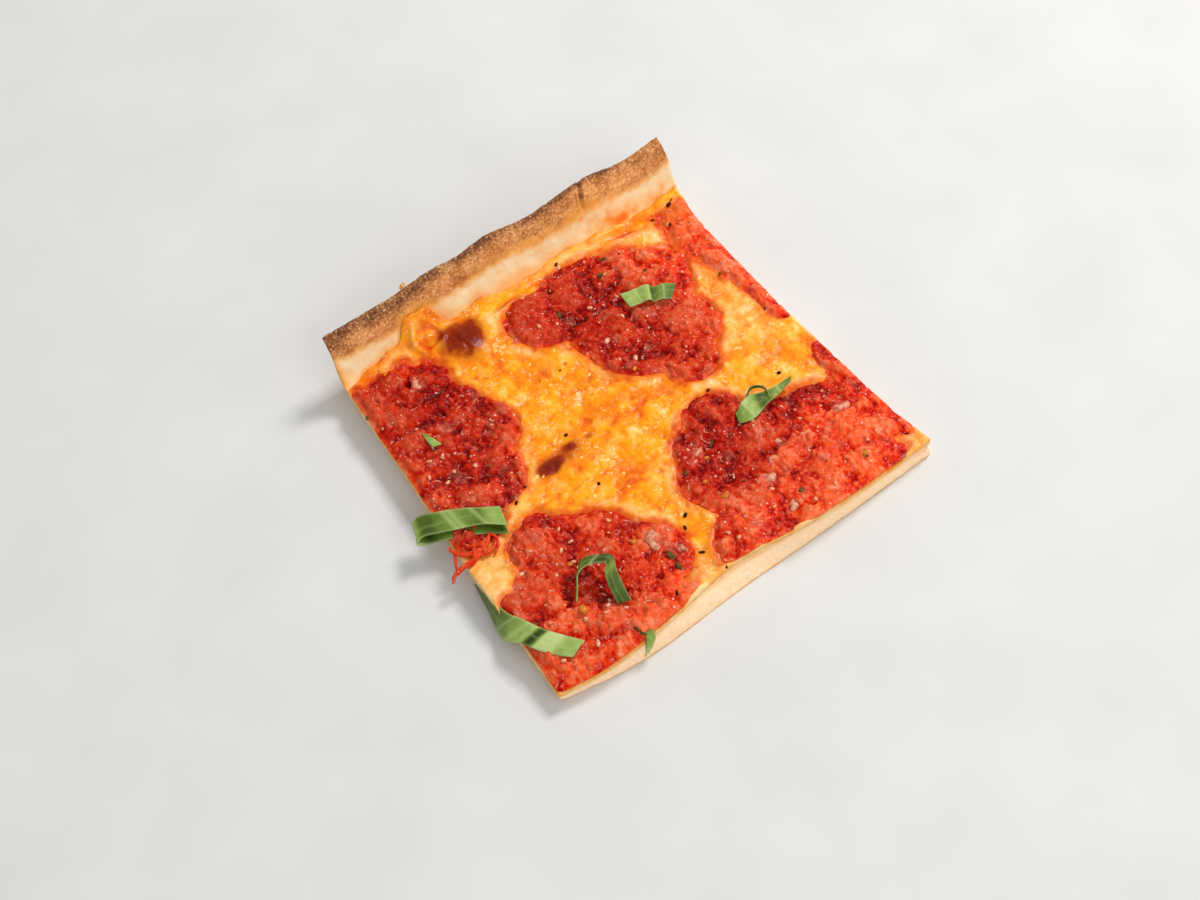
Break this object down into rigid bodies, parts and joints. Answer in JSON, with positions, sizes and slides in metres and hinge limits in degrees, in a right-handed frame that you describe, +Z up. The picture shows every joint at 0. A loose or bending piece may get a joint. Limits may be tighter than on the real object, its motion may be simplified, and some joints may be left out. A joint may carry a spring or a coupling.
{
  "type": "pizza slice",
  "caption": "Square slice of pan pizza: thin dough with a browned upturned rim on one side, melted cheese, pools of tomato sauce and cut basil ribbons.",
  "frame": {"origin": "centre of the slice's flat underside", "axes": "+Z up out of the toppings, +Y from the front cut towards the baked rim, +X along the front cut to the right as seen from the front cut"},
  "size_m": [0.1349, 0.1334, 0.0242],
  "materials": {
    "baked_dough": "dry baked dough, pale on the cut faces and browned along the rim",
    "melted_cheese": "oily melted cheese, orange-yellow with paler shreds",
    "tomato_sauce": "moist tomato pulp, red with dark hollows",
    "basil_leaf": "fresh cut leaf, mid green with a paler underside"
  },
  "bodies": {
    "root": {"crust": "baked_dough", "cheese": "melted_cheese", "sauce_back_left": "tomato_sauce", "sauce_back_right": "tomato_sauce", "sauce_front_left": "tomato_sauce", "sauce_front_right": "tomato_sauce", "sauce_edge_right": "tomato_sauce", "basil_left": "basil_leaf", "basil_draped": "basil_leaf", "basil_front": "basil_leaf", "basil_right": "basil_leaf", "basil_back": "basil_leaf"}
  },
  "joints": []
}
